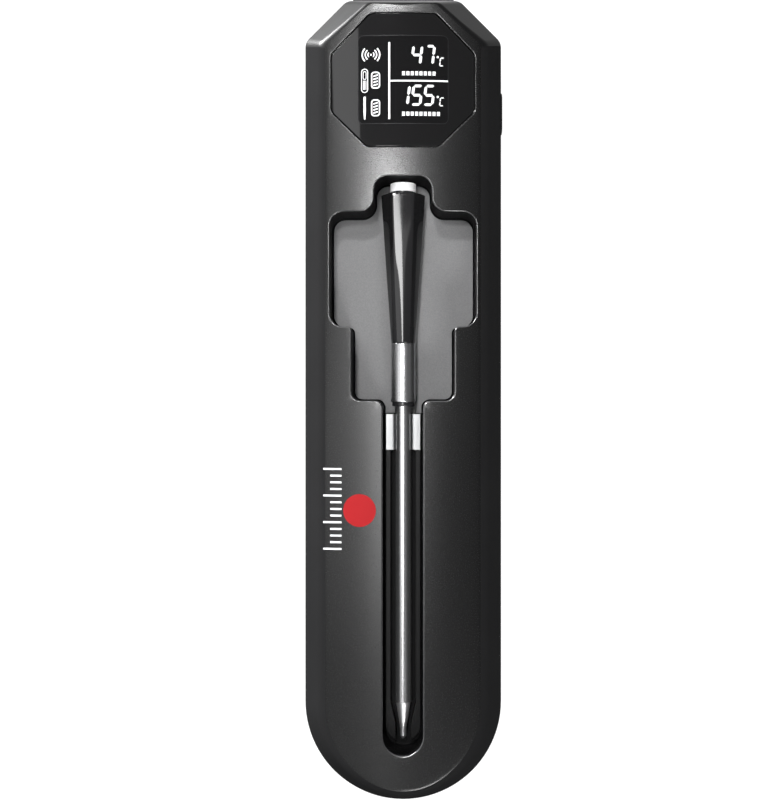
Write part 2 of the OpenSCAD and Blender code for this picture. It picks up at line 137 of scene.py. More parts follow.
def window_points(gap=0.0):
    x, y1, y0 = WINDOW_X - gap, WINDOW_Y1 - gap, WINDOW_Y0 + gap
    top, low, r = 9.4, 8.6, 2.4
    return rounded(both_sides([(x - low, y0, r), (x, y0 + low, r), (x, y1 - top, r), (x - top, y1, r)]))


def tray_points():
    """Lobe, finger bays, neck and groove as one outline."""
    side = [(GROOVE_X, NECK_Y0, 1.7), (NECK_X, NECK_Y0, 2.2), (NECK_X, BAY_Y0, 1.0),
            (BAY_X, BAY_Y0, TRAY_R), (BAY_X, BAY_Y1, TRAY_R), (LOBE_X, BAY_Y1, TRAY_R),
            (LOBE_X, LOBE_Y, TRAY_R)]
    corners = both_sides(side)
    centre_y = GROOVE_END_Y + GROOVE_X
    ends = [(-GROOVE_X, centre_y, 0), (GROOVE_X, centre_y, 0)]
    path = []
    loop = corners + ends
    for i in range(len(corners)):
        path += corner_arc(loop[i - 1], loop[i], loop[(i + 1) % len(loop)], loop[i][2])
    gap = 0.02
    path += [np.array([-GROOVE_X, STEP_Y + gap]), np.array([-GROOVE_X, STEP_Y - gap])]
    steps = 28
    path += [np.array([-GROOVE_X * math.cos(math.pi * i / steps),
                       centre_y - GROOVE_X * math.sin(math.pi * i / steps)]) for i in range(steps + 1)]
    path += [np.array([GROOVE_X, STEP_Y - gap]), np.array([GROOVE_X, STEP_Y + gap])]
    return path


def splits(points, step):
    """How many parts each side of a closed outline is cut into, none of them longer than step."""
    return [max(1, math.ceil(np.linalg.norm(points[(i + 1) % len(points)] - points[i]) / step))
            for i in range(len(points))]


def densify(points, parts):
    out = []
    for i, n in enumerate(parts):
        a, b = points[i], points[(i + 1) % len(points)]
        out += [a + (b - a) * k / n for k in range(n)]
    return np.array(out)


def outward(points):
    """Outward mitre normals of a closed outline that runs anticlockwise."""
    points = np.array(points)
    ahead = np.roll(points, -1, 0) - points
    ahead /= np.linalg.norm(ahead, axis=1)[:, None]
    normal = np.stack([ahead[:, 1], -ahead[:, 0]], 1)
    both = normal + np.roll(normal, 1, 0)
    both /= np.linalg.norm(both, axis=1)[:, None]
    return both / np.maximum(0.5, np.sum(both * normal, 1))[:, None]


def anticlockwise(points):
    points = np.array(points)
    x, y = points[:, 0], points[:, 1]
    area = np.sum(x * np.roll(y, -1) - np.roll(x, -1) * y)
    return points if area > 0 else points[::-1]


def inside(points, outline):
    """Which points lie inside a closed outline."""
    px, py = points[:, 0][:, None], points[:, 1][:, None]
    x0, y0 = outline[:, 0][None], outline[:, 1][None]
    x1, y1 = np.roll(x0, -1, 1), np.roll(y0, -1, 1)
    crosses = (y0 > py) != (y1 > py)
    at = x0 + (py - y0) * (x1 - x0) / np.where(y1 == y0, 1e-12, y1 - y0)
    return (np.sum(crosses & (px < at), 1) % 2) == 1


def crown(x):
    return DOCK_T - CROWN_R + np.sqrt(CROWN_R ** 2 - np.square(x))


def bend(a, k, c, n=5):
    """Points from a to c on a smooth curve that is drawn towards the corner k."""
    return [a * (1 - s) ** 2 + k * 2 * s * (1 - s) + c * s * s for s in np.linspace(0, 1, n + 1)]


def at_height(xy, z):
    z = np.full(len(xy), z, float) if np.isscalar(z) else z
    return np.column_stack([xy, z])


# ---- meshes ----------------------------------------------------------------
OPEN = -1       # kind of a face that is left out


class Shape:
    """Collects points and faces in millimetres."""

    def __init__(self):
        self.points, self.faces, self.kinds = [], [], {}

    def add(self, points):
        start = len(self.points)
        self.points += [tuple(map(float, p)) for p in points]
        return list(range(start, len(self.points)))

    def loft(self, rings, closed=True, flip=False):
        """Skins a list of rings of equal length; returns the last ring's indices."""
        rows = [self.add(r) for r in rings]
        self.skin(rows, closed, flip)
        return rows

    def skin(self, rows, closed=True, flip=False):
        for low, high in zip(rows, rows[1:]):
            count = len(low)
            for i in range(count if closed else count - 1):
                j = (i + 1) % count
                face = [low[i], low[j], high[j], high[i]]
                self.faces.append(face[::-1] if flip else face)

    def cap(self, row, flip=False):
        self.faces.append(list(row)[::-1] if flip else list(row))


def build(shape, name, body, finish, replaces=(), smooth=True, others=()):
    """Makes a piece; a face's kind picks its material, first finish and then the others."""
    mesh = bpy.data.meshes.new(name)
    kept = [i for i in range(len(shape.faces)) if shape.kinds.get(i) != OPEN]
    points = [(x * MM, y * MM, z * MM) for x, y, z in shape.points]
    mesh.from_pydata(points, [], [shape.faces[i] for i in kept])
    for face, i in zip(mesh.polygons, kept):
        face.material_index = shape.kinds.get(i, 0)
    obj = bpy.data.objects.new(name, mesh)
    bpy.context.scene.collection.objects.link(obj)
    bm = bmesh.new()
    bm.from_mesh(mesh)
    bmesh.ops.remove_doubles(bm, verts=bm.verts, dist=0.0004 * MM)
    bmesh.ops.recalc_face_normals(bm, faces=bm.faces)
    bm.to_mesh(mesh)
    bm.free()
    for mat in (finish, *others):
        mesh.materials.append(mat)
    if smooth:
        mesh.polygons.foreach_set("use_smooth", [True] * len(mesh.polygons))
        mesh.set_sharp_from_angle(angle=math.radians(60))
    if replaces:
        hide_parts(*replaces)
    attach(obj, body)
    return obj


def follow(obj, height, radius):
    """Gives the points of a curved face the exact normals of a cylinder of that radius."""
    mesh = obj.data
    normals = []
    for vertex, own in zip(mesh.vertices, mesh.vertex_normals):
        x, z = vertex.co.x / MM, vertex.co.z / MM
        on_face = abs(z - float(height(x))) < 0.002
        exact = (x / radius, 0.0, math.sqrt(1 - (x / radius) ** 2))
        normals.append(exact if on_face else tuple(own.vector))
    mesh.normals_split_custom_set_from_vertices(normals)


def weigh(obj):
    """Keeps wide faces flat beside their rounded edges."""
    mod = obj.modifiers.new("weigh", "WEIGHTED_NORMAL")
    mod.weight = 60
    mod.keep_sharp = True


def prism(shape, outline, z0, z1, edge):
    """An upright solid with a rounded top edge."""
    outline = anticlockwise(outline)
    inner = outline - outward(outline) * edge
    rows = shape.loft([at_height(outline, z0)] + bend(at_height(outline, z1 - edge), at_height(outline, z1),
                                                      at_height(inner, z1), 3))
    shape.cap(rows[-1])
    shape.cap(rows[0], flip=True)


def soft_profile(corners):
    """A turned profile of (along, radius, edge radius) corners, its corners rounded."""
    out = []
    for i, (y, r, e) in enumerate(corners):
        p = np.array([y, r], float)
        if e <= 0 or i in (0, len(corners) - 1):
            out.append(p)
            continue
        before = np.array(corners[i - 1][:2], float) - p
        after = np.array(corners[i + 1][:2], float) - p
        e = min(e, np.linalg.norm(before) * 0.49, np.linalg.norm(after) * 0.49)
        a = p + before / np.linalg.norm(before) * e
        c = p + after / np.linalg.norm(after) * e
        out += bend(a, p, c, 4)
    return out


SIDES = 72          # of a turned solid
SMALLEST_R = 0.002


def turned(name, corners, finish, node):
    """A solid turned about the probe's axis."""
    shape = Shape()
    angles = np.linspace(0, 2 * math.pi, SIDES, endpoint=False)
    rings = []
    for y, r in soft_profile(corners):
        r = max(r, SMALLEST_R)
        rings.append(np.column_stack([r * np.cos(angles), np.full(SIDES, y), AXIS_Z + r * np.sin(angles)]))
    rows = shape.loft(rings)
    shape.cap(rows[0])
    shape.cap(rows[-1])
    weigh(build(shape, name, "probe", finish, (node,)))


# ---- materials ---------------------------------------------------------------
def material(name, colour, roughness, metallic=0.0, spread=0.15, grain=(900.0, 0.05), specular=0.5,
             rough_spread=0.08, wear=0.0, streaks=None, emission=0.0, blotch=60.0):
    """A procedural finish: colour and roughness that vary, a fine grain, and worn edges."""
    mat = bpy.data.materials.new(name)
    mat.use_nodes = True
    nodes, links = mat.node_tree.nodes, mat.node_tree.links
    shader = nodes["Principled BSDF"]
    shader.inputs["Metallic"].default_value = metallic
    shader.inputs["Specular IOR Level"].default_value = specular
    place = nodes.new("ShaderNodeTexCoord")
    wide = nodes.new("ShaderNodeTexNoise")
    wide.inputs["Scale"].default_value = blotch
    wide.inputs["Detail"].default_value = 4.0
    links.new(place.outputs["Object"], wide.inputs["Vector"])
    tint = nodes.new("ShaderNodeValToRGB")
    tint.color_ramp.elements[0].position = 0.3
    tint.color_ramp.elements[1].position = 0.7
    tint.color_ramp.elements[0].color = [c * (1 - spread) for c in colour] + [1]
    tint.color_ramp.elements[1].color = [min(1, c * (1 + spread)) for c in colour] + [1]
    links.new(wide.outputs["Fac"], tint.inputs["Fac"])
    colour_out = tint.outputs["Color"]
    if wear:
        edge = nodes.new("ShaderNodeNewGeometry")
        pick = nodes.new("ShaderNodeMapRange")
        pick.inputs["From Min"].default_value = 0.53
        pick.inputs["From Max"].default_value = 0.62
        pick.inputs["To Max"].default_value = wear
        links.new(edge.outputs["Pointiness"], pick.inputs["Value"])
        worn = nodes.new("ShaderNodeMix")
        worn.data_type = "RGBA"
        worn.inputs[7].default_value = [min(1, c * 2.2 + 0.02) for c in colour] + [1]
        links.new(pick.outputs["Result"], worn.inputs[0])
        links.new(colour_out, worn.inputs[6])
        colour_out = worn.outputs[2]
    links.new(colour_out, shader.inputs["Base Color"])
    fine = nodes.new("ShaderNodeTexNoise")
    fine.inputs["Scale"].default_value = grain[0]
    fine.inputs["Detail"].default_value = 3.0
    vector = place.outputs["Object"]
    if streaks:
        stretch = nodes.new("ShaderNodeMapping")
        stretch.inputs["Scale"].default_value = streaks
        links.new(vector, stretch.inputs["Vector"])
        vector = stretch.outputs["Vector"]
    links.new(vector, fine.inputs["Vector"])
    rough = nodes.new("ShaderNodeMapRange")
    rough.inputs["To Min"].default_value = max(0.01, roughness - rough_spread)
    rough.inputs["To Max"].default_value = roughness + rough_spread
    links.new(fine.outputs["Fac"], rough.inputs["Value"])
    links.new(rough.outputs["Result"], shader.inputs["Roughness"])
    bump = nodes.new("ShaderNodeBump")
    bump.inputs["Strength"].default_value = grain[1]
    bump.inputs["Distance"].default_value = 0.0002
    links.new(fine.outputs["Fac"], bump.inputs["Height"])
    links.new(bump.outputs["Normal"], shader.inputs["Normal"])
    if emission:
        links.new(colour_out, shader.inputs["Emission Color"])
        shader.inputs["Emission Strength"].default_value = emission
    return mat


CASE = material("case_black", (0.0042, 0.0042, 0.0043), 0.27, spread=0.05, grain=(4200.0, 0.02),
                rough_spread=0.015, specular=0.4)
CASE_SIDE = material("case_side", (0.006, 0.006, 0.0062), 0.34, spread=0.05, grain=(4200.0, 0.02),
                     rough_spread=0.02, specular=0.12)
# A copy of the case's black for the shoulders and bevels, with no reflection and a lighter colour: the colour
# is a painted sheen in place of their reflection.
CASE_BEVEL_PAINTED_SHEEN = material("case_bevel_painted_sheen", (0.0105, 0.0105, 0.0108), 0.5, spread=0.05, grain=(4200.0, 0.02),
                    rough_spread=0.02, specular=0.0)
# A lighter copy of the case's black for the tray's lip: its light colour is a painted highlight along the
# lip.
CASE_LIP_PAINTED_HIGHLIGHT = material("case_lip_painted_highlight", (0.03, 0.03, 0.031), 0.25, spread=0.05, grain=(1500.0, 0.01),
                     rough_spread=0.02, specular=0.8)
# A darker, duller copy of the case's black for the walls of tray and window and the band at their foot:
# painted shade on walls that stand in shadow.
CASE_WALL_PAINTED_SHADE = material("case_wall_painted_shade", (0.003, 0.003, 0.0032), 0.55, spread=0.06, grain=(1800.0, 0.1),
                     rough_spread=0.05, specular=0.05)
GROOVE = material("groove_gloss", (0.005, 0.005, 0.0055), 0.10, spread=0.06, grain=(900.0, 0.01),
                  rough_spread=0.03, specular=0.5)
LEDGE = material("ledge_black", (0.006, 0.006, 0.0062), 0.38, spread=0.06, grain=(2000.0, 0.05),
                 rough_spread=0.04, specular=0.08)
COVER = material("cover_black", (0.010, 0.010, 0.0103), 0.40, spread=0.06, grain=(4200.0, 0.05),
                 wear=0.3, rough_spread=0.03, specular=0.09)
TRAY = material("tray_grey", (0.138, 0.138, 0.140), 0.50, spread=0.13, blotch=5000.0, specular=0.2,
                grain=(3000.0, 0.35), rough_spread=0.06)
WINDOW = material("window_gloss", (0.0075, 0.0075, 0.0077), 0.035, spread=0.05, grain=(300.0, 0.003),
                  rough_spread=0.01, specular=0.25)
SCREEN = material("display_mark", (0.45, 0.455, 0.46), 0.4, spread=0.02, grain=(4000.0, 0.02), emission=1.0)
SCREEN_EDGE = material("display_edge", (0.016, 0.016, 0.017), 0.25, specular=0.05, spread=0.05,
                       grain=(2000.0, 0.02))
SCREEN_FIELD = material("display_field", (0.0062, 0.0062, 0.0064), 0.035, spread=0.05,
                        grain=(900.0, 0.002), rough_spread=0.01, specular=0.05)
MARK_WHITE = material("print_white", (0.55, 0.55, 0.56), 0.45, spread=0.03, grain=(3000.0, 0.05))
MARK_RED = material("print_red", (0.24, 0.012, 0.014), 0.5, spread=0.05, grain=(3000.0, 0.05),
                    specular=0.03)
BUTTON = material("button_black", (0.010, 0.010, 0.0103), 0.30, spread=0.06, grain=(3000.0, 0.03),
                  wear=0.3, specular=0.2)
PAD = material("pad_rubber", (0.017, 0.017, 0.017), 0.65, spread=0.1, grain=(1500.0, 0.4))
FLAP = material("flap_rubber", (0.06, 0.06, 0.06), 0.55, specular=0.1, spread=0.05, grain=(1500.0, 0.3))
STEEL = material("probe_steel", (0.60, 0.60, 0.61), 0.26, metallic=0.97, spread=0.02, grain=(900.0, 0.003),
                 rough_spread=0.015, streaks=(1.0, 0.03, 1.0))
TIP = material("tip_steel", (0.60, 0.60, 0.61), 0.32, metallic=0.92, spread=0.02, grain=(900.0, 0.003),
               rough_spread=0.02)
# The cap's emission is a painted glow that keeps it white all over; the cap is no lamp.
CAP_WITH_PAINTED_GLOW = material("cap_steel", (0.92, 0.92, 0.92), 0.5, metallic=0.1, spread=0.02, grain=(900.0, 0.02),
               emission=0.16)
HANDLE = material("handle_gloss", (0.011, 0.011, 0.0115), 0.06, spread=0.08, grain=(500.0, 0.006),
                  rough_spread=0.02, specular=0.5)
RING = material("probe_black", (0.012, 0.012, 0.013), 0.2, spread=0.08, grain=(900.0, 0.05))
CONTACT = material("contact_steel", (0.27, 0.272, 0.275), 0.46, metallic=1.0, spread=0.03,
                   grain=(1200.0, 0.01), streaks=(1.0, 0.05, 1.0))
BRASS = material("contact_brass", (0.80, 0.62, 0.28), 0.2, metallic=1.0, spread=0.05, grain=(1200.0, 0.05))
CONTACT_DARK = material("contact_dark", (0.05, 0.05, 0.052), 0.3, metallic=1.0, spread=0.05,
                        grain=(1200.0, 0.02))
SCREW = material("screw_steel", (0.55, 0.56, 0.57), 0.28, metallic=1.0, spread=0.08, grain=(1200.0, 0.1))
TIN = material("tin_plate", (0.65, 0.66, 0.67), 0.3, metallic=1.0, spread=0.06, grain=(900.0, 0.1))
MAGNET = material("magnet_nickel", (0.7, 0.7, 0.72), 0.25, metallic=1.0, spread=0.04, grain=(900.0, 0.05))
INNER_BLACK = material("inner_black", (0.02, 0.02, 0.02), 0.5, grain=(1500.0, 0.2))
INNER_WHITE = material("inner_white", (0.72, 0.72, 0.70), 0.5, spread=0.04, grain=(1500.0, 0.1))
GLASS = material("display_glass", (0.010, 0.012, 0.014), 0.08, grain=(500.0, 0.01))
FLEX = material("flex_amber", (0.50, 0.25, 0.07), 0.35, grain=(1200.0, 0.05), streaks=(1.0, 0.1, 1.0))
BOARD = material("board_green", (0.02, 0.11, 0.05), 0.35, spread=0.2, grain=(1500.0, 0.1))
FOIL = material("battery_foil", (0.55, 0.60, 0.66), 0.35, metallic=0.7, spread=0.05, grain=(700.0, 0.2))
SEAL = material("seal_rubber", (0.045, 0.045, 0.045), 0.6, grain=(1500.0, 0.3))
RED = material("lead_red", (0.50, 0.03, 0.03), 0.4, grain=(1500.0, 0.05))
BLUE = material("lead_blue", (0.03, 0.05, 0.30), 0.4, grain=(1500.0, 0.05))
AMBER = material("sensor_amber", (0.55, 0.38, 0.10), 0.2, grain=(900.0, 0.05))

SLOTS = dict(
    case_black=CASE, cover_black=COVER, tray_grey=TRAY, window_gloss=WINDOW, inner_black=INNER_BLACK,
    inner_white=INNER_WHITE, display_glass=GLASS, flex_amber=FLEX, board_green=BOARD, screw_steel=SCREW,
    tin_plate=TIN, button_black=BUTTON, battery_foil=FOIL, seal_rubber=SEAL, lead_red=RED,
    lead_blue=BLUE, contact_steel=CONTACT, contact_brass=BRASS, contact_dark=CONTACT_DARK,
    magnet_nickel=MAGNET, pad_rubber=PAD, flap_rubber=FLAP, cap_steel=CAP_WITH_PAINTED_GLOW, probe_black=RING,
    handle_gloss=HANDLE, probe_steel=STEEL, sensor_amber=AMBER)
for part in frame["record"]["subparts"]:
    node = frame["nodes"][part["node"]]
    node.data.materials.clear()
    node.data.materials.append(SLOTS[part["material_slot"]])


def finish_node(name, width):
    """Welds a CAD node's split corners and softens its edges."""
    node = frame["nodes"][name]
    node.data.polygons.foreach_set("use_smooth", [True] * len(node.data.polygons))
    weld = node.modifiers.new("weld", "WELD")
    weld.merge_threshold = 0.002 * MM
    flat = node.modifiers.new("flat", "DECIMATE")
    flat.decimate_type = "DISSOLVE"
    flat.angle_limit = math.radians(0.5)
    bevel = node.modifiers.new("edges", "BEVEL")
    bevel.width = width * MM
    bevel.segments = 3
    bevel.limit_method = "ANGLE"
    bevel.angle_limit = math.radians(35)
    bevel.harden_normals = False
    weigh(node)


# ---- case front ----------------------------------------------------------------
CREASE = 1.7      # how far the edge between bevel and crown is rounded
CREASE_TOP = 0.8  # and at the display end, where the face is narrow
SHOULDER = 0.5
LIP = 0.35        # rounding of the tray's and the window's lips
FOOT = 0.38       # curve at the foot of the tray's walls; in the walls' darker colour it lays a band of painted shade round the tray's floor
WALL = 1.0        # thickness of the case
LONGEST = 1.5     # longest side of an outline once it is cut up
RECESS_X, RECESS_Y, RECESS_TOP = 12.4, HALF_L - 1.1, 14.1    # behind the port's flap
RECESS_GAP = 0.03                                            # keeps its sides off the end wall
PORT_X, PORT_Y, PORT_TOP = 4.75, 92.0, 9.73
# kinds of face, in the order of the case's materials
FACE, LIP_KIND, WALL_KIND, GROOVE_KIND, SIDE_KIND, END_KIND = range(6)


def with_recess(outline, marks=None):
    """Adds points to the straight display end of an outline, at the edges of recess and port."""
    a, b = next((a, b) for a, b in zip(outline, outline[1:])
                if a[1] > HALF_L / 2 and a[0] > PORT_X and b[0] < -PORT_X)
    if marks is None:
        marks = [(a[0] - x) / (a[0] - b[0]) for x in (RECESS_X, PORT_X, -PORT_X, -RECESS_X)]
    i = [tuple(p) for p in outline].index(tuple(b))
    return list(outline[:i]) + [a + (b - a) * t for t in marks] + list(outline[i:]), marks


def recess(shape, edge):
    """The shallow recess behind the flap, and the opening through which the plug goes."""
    xs = [shape.points[i][0] for i in edge]
    start = len(shape.faces)
    profile = ((HALF_L, RECESS_TOP), (RECESS_Y, RECESS_TOP), (RECESS_Y, PORT_TOP), (RECESS_Y, SPLIT_Z))
    shape.loft([[(x, y, z) for x in xs] for y, z in profile], closed=False)
    lowest = start + 2 * (len(xs) - 1)
    for k in range(len(xs) - 1):
        if abs(xs[k] + xs[k + 1]) / 2 < PORT_X:
            shape.kinds[lowest + k] = OPEN
    for x in (xs[0], xs[-1]):
        shape.loft([[(x, HALF_L - RECESS_GAP, z), (x, RECESS_Y, z)]
                    for z in (RECESS_TOP, PORT_TOP, SPLIT_Z)], closed=False)
    way = [(x, PORT_TOP) for x in xs if abs(x) < PORT_X + 0.001]
    way = [(way[0][0], SPLIT_Z)] + way + [(way[-1][0], SPLIT_Z)]
    shape.loft([[(x, y, z) for x, z in way] for y in (RECESS_Y, PORT_Y)], closed=False)
    for k in range(start, len(shape.faces)):
        shape.kinds.setdefault(k, SIDE_KIND)


def case_front():
    """The dock's front: sides, bevels, domed face, and the walls of window and tray."""
    shape = Shape()
    at_0 = case_points(0, 0, 0, 0, CORNER_R)
    at_1 = case_points(BEVEL["side"], BEVEL["diag"], BEVEL["top"], BEVEL["end"], 2.0)
    at_0, marks = with_recess(at_0)
    at_1, marks = with_recess(at_1, marks)
    parts = splits(at_0, LONGEST)
    base, top = densify(at_0, parts), densify(at_1, parts)
    rise = DOCK_T - SHOULDER_Z
    low, high = np.zeros(len(base)), np.ones(len(base))
    for _ in range(40):
        mid = (low + high) / 2
        xy = base + (top - base) * mid[:, None]
        above = SHOULDER_Z + rise * mid > crown(xy[:, 0])
        high, low = np.where(above, mid, high), np.where(above, low, mid)
    edge = (low + high) / 2
    run = top - base
    reach = np.sqrt(np.sum(run ** 2, 1) + rise ** 2)

    def bevel_at(t):
        return np.column_stack([base + run * t[:, None], SHOULDER_Z + rise * t])

    crease = bevel_at(edge)
    soft = CREASE - (CREASE - CREASE_TOP) * np.clip((base[:, 1] - 84) / 9, 0, 1)
    before = bevel_at(edge - soft / reach)
    step = run / np.linalg.norm(run, axis=1)[:, None] * soft[:, None]
    after_xy = crease[:, :2] + step
    after = at_height(after_xy, crown(after_xy[:, 0]))
    normal = outward(base)
    rings = [at_height(base - normal * 0.3, SPLIT_Z)]
    rings += [at_height(base - normal * 0.08, SPLIT_Z + 0.08), at_height(base, SPLIT_Z + 0.3),
              at_height(base, RECESS_TOP)]
    rings += bend(at_height(base, SHOULDER_Z - SHOULDER), at_height(base, SHOULDER_Z),
                  bevel_at(SHOULDER / reach), 4)
    below = (len(rings) - 1) * len(base)
    rings += bend(before, crease, after, 5)
    rows = shape.loft(rings)
    rim = rows[-1]
    count = len(base)
    chamfers = base[:, 1] > HALF_L - END_CHAMFER - 1
    # Shoulder and bevel strips, except near the display end, take the painted sheen.
    shape.kinds.update({i: SIDE_KIND if i < 4 * count or chamfers[i % count] else END_KIND
                        for i in range(below + 5 * count)})
    behind = [i for i in range(count) if base[i, 1] > HALF_L - 0.001 and abs(base[i, 0]) < RECESS_X + 0.001]
    shape.kinds.update({strip * count + i: OPEN for strip in range(3) for i in behind[:-1]})
    recess(shape, [rows[3][i] for i in behind])

    holes = []
    window = anticlockwise(densify(window_points(), splits(window_points(), LONGEST)))
    tray = anticlockwise(densify(tray_points(), splits(tray_points(), LONGEST)))
    for outline, low_z in ((window, crown(window[:, 0]) - LENS_STEP - 0.5),
                           (tray, np.where(tray[:, 1] > STEP_Y, FLOOR_Z, CHANNEL_Z))):
        out = outward(outline)
        a_xy = outline + out * LIP
        a = at_height(a_xy, crown(a_xy[:, 0]))
        z = crown(outline[:, 0])
        rings = bend(a, at_height(outline, z), at_height(outline, z - LIP), 5)
        rings += bend(at_height(outline, low_z + FOOT), at_height(outline, low_z),
                      at_height(outline - out * FOOT, low_z), 4)
        start = len(shape.faces)
        rows = shape.loft(rings, flip=True)
        ring_size = len(outline)
        for i in range(start, len(shape.faces)):
            strip = (i - start) // ring_size
            in_groove = shape.points[shape.faces[i][0]][1] < STEP_Y
            # Strips 1 to 3 of the tray's lip take the lighter colour of the painted highlight.
            lip = LIP_KIND if outline is tray and strip > 0 else FACE
            wall = GROOVE_KIND if in_groove and strip < 7 else WALL_KIND
            shape.kinds[i] = lip if strip < 4 else wall
        holes.append((a_xy, rows))
    foot_row = holes[1][1][-1]
    groove = [i for i in foot_row if shape.points[i][1] < STEP_Y]
    first = next(k for k, i in enumerate(foot_row) if i in groove and foot_row[k - 1] not in groove)
    ordered = [foot_row[(first + k) % len(foot_row)] for k in range(len(groove))]
    shape.cap(ordered)
    shape.kinds[len(shape.faces) - 1] = WALL_KIND

    fill(shape, rim, [h[1][0] for h in holes], crown)
    return shape


def fill(shape, rim, holes, height):
    """Fills between closed rings of points with a curved skin of small triangles."""
    bounds = [np.array([shape.points[i][:2] for i in row]) for row in (rim, *holes)]
    outer = bounds[0]
    edges_xy = np.vstack(bounds)
    low, high = outer.min(0), outer.max(0)
    across, along = np.arange(low[0] + 0.6, high[0], 1.3), np.arange(low[1] + 1, high[1], 2.6)
    grid = np.array([(x, y) for x in across for y in along])
    keep = inside(grid, outer)
    for hole in bounds[1:]:
        keep &= ~inside(grid, hole)
    grid = grid[keep]
    gap = np.min(np.linalg.norm(grid[:, None] - edges_xy[None], axis=2), axis=1)
    grid = grid[gap > 0.95]
    all_xy = np.vstack([edges_xy, grid])
    edges, start = [], 0
    for ring in bounds:
        edges += [(start + i, start + (i + 1) % len(ring)) for i in range(len(ring))]
        start += len(ring)
    result = delaunay_2d_cdt([tuple(p) for p in all_xy], edges, [], 0, 1e-5, True)
    points = np.array([tuple(v) for v in result[0]])
    names = [i for row in (rim, *holes) for i in row]
    index = []
    for (x, y), origin in zip(points, result[3]):
        known = [o for o in origin if o < len(names)]
        index.append(names[known[0]] if known else shape.add([(x, y, height(x))])[0])
    tris = [list(f) for f in result[2]]
    centres = np.array([points[f].mean(0) for f in tris])
    keep = inside(centres, outer)
    for hole in bounds[1:]:
        keep &= ~inside(centres, hole)
    shape.faces += [[index[i] for i in f] for f, k in zip(tris, keep) if k]


def ledges(shape):
    """The two ledges that stand in the groove beside the channel."""
    steps = 14
    last = math.acos(TIP_X / LEDGE_X)
    arc = [(LEDGE_X * math.cos(last * i / steps), LEDGE_END_Y - LEDGE_X * math.sin(last * i / steps))
           for i in range(steps + 1)]
    side = [(LEDGE_X, STEP_Y)] + arc + [(TIP_X, LEDGE_END_Y), (CHANNEL_X, CHANNEL_END_Y), (CHANNEL_X, STEP_Y)]
    for sign in (1, -1):
        outline = np.array([(sign * x, y) for x, y in side])
        prism(shape, outline, CHANNEL_Z - 0.2, LEDGE_Z, 0.18)


def front_object():
    shape = case_front()
    obj = build(shape, "case_front", "root", CASE, ("front_shell",),
                others=(CASE_LIP_PAINTED_HIGHLIGHT, CASE_WALL_PAINTED_SHADE, GROOVE, CASE_SIDE, CASE_BEVEL_PAINTED_SHEEN))
    thick = obj.modifiers.new("wall", "SOLIDIFY")
    thick.thickness = WALL * MM
    thick.offset = -1
    weigh(obj)
    rails = Shape()
    ledges(rails)
    weigh(build(rails, "groove_ledges", "root", LEDGE))


front_object()


# ---- window and display -----------------------------------------------------------
def glass(x):
    """Height of the window's face."""
    return crown(x) - LENS_STEP


LENS_EDGE = 0.12    # rounding of the window's edge


def lens():
    shape = Shape()
    outline = anticlockwise(densify(window_points(LENS_GAP), splits(window_points(LENS_GAP), LONGEST)))
    inner = outline - outward(outline) * LENS_EDGE
    top = glass(outline[:, 0])
    rings = [at_height(outline, LENS_LOW[2])]
    rings += bend(at_height(outline, top - LENS_EDGE), at_height(outline, top),
                  at_height(inner, glass(inner[:, 0])), 4)
    rows = shape.loft(rings)
    shape.cap(rows[0], flip=True)
    fill(shape, rows[-1], [], glass)
    obj = build(shape, "window_lens", "root", WINDOW, ("display_lens",))
    follow(obj, glass, CROWN_R - LENS_STEP)


lens()
MARK_SUNK, MARK_PROUD = 0.02, 0.03
SLANT = 0.12                            # lean of the figures
FIGURE_HALF, SIGN_HALF = 0.31, 0.14     # half the width of a figure's bars


def mark(shape, outline):
    """A thin flat figure that lies on the curved window."""
    outline = anticlockwise(outline)
    z = glass(outline[:, 0])
    rows = shape.loft([at_height(outline, z - MARK_SUNK), at_height(outline, z + MARK_PROUD)])
    shape.cap(rows[1])
    shape.cap(rows[0], flip=True)


def bar(shape, x0, y0, x1, y1):
    """A bar across the window, cut into short lengths that follow its curve."""
    rings = []
    for x in np.linspace(x0, x1, max(2, math.ceil(x1 - x0) + 1)):
        low, high = glass(x) - MARK_SUNK, glass(x) + MARK_PROUD
        rings.append([(x, y0, low), (x, y1, low), (x, y1, high), (x, y0, high)])
    rows = shape.loft(rings)
    shape.cap(rows[0], flip=True)
    shape.cap(rows[-1])


def segment(shape, a, b, half, base_y):
    """One bar of a seven-bar figure, pointed at both ends and leaning to the right."""
    a, b = np.array(a, float), np.array(b, float)
    along = (b - a) / np.linalg.norm(b - a)
    across = np.array([-along[1], along[0]])
    a, b = a + along * half * 0.25, b - along * half * 0.25
    points = [a, a + (along + across) * half, b + (across - along) * half, b,
              b - (along + across) * half, a + (along - across) * half]
    mark(shape, [(x + (y - base_y) * SLANT, y) for x, y in points])


FIGURE_BARS = {"1": "bc", "4": "bcfg", "5": "acdfg", "7": "abc", "C": "adef"}


def figure(shape, char, x, y, w, h, half):
    """A seven-bar figure with its lower left corner at (x, y)."""
    corner = {"tl": (x, y + h), "tr": (x + w, y + h), "ml": (x, y + h / 2), "mr": (x + w, y + h / 2),
              "bl": (x, y), "br": (x + w, y)}
    ends = dict(a=("tl", "tr"), b=("mr", "tr"), c=("br", "mr"), d=("bl", "br"), e=("bl", "ml"),
                f=("ml", "tl"), g=("ml", "mr"))
    for name in FIGURE_BARS[char]:
        first, last = ends[name]
        segment(shape, corner[first], corner[last], half, y)


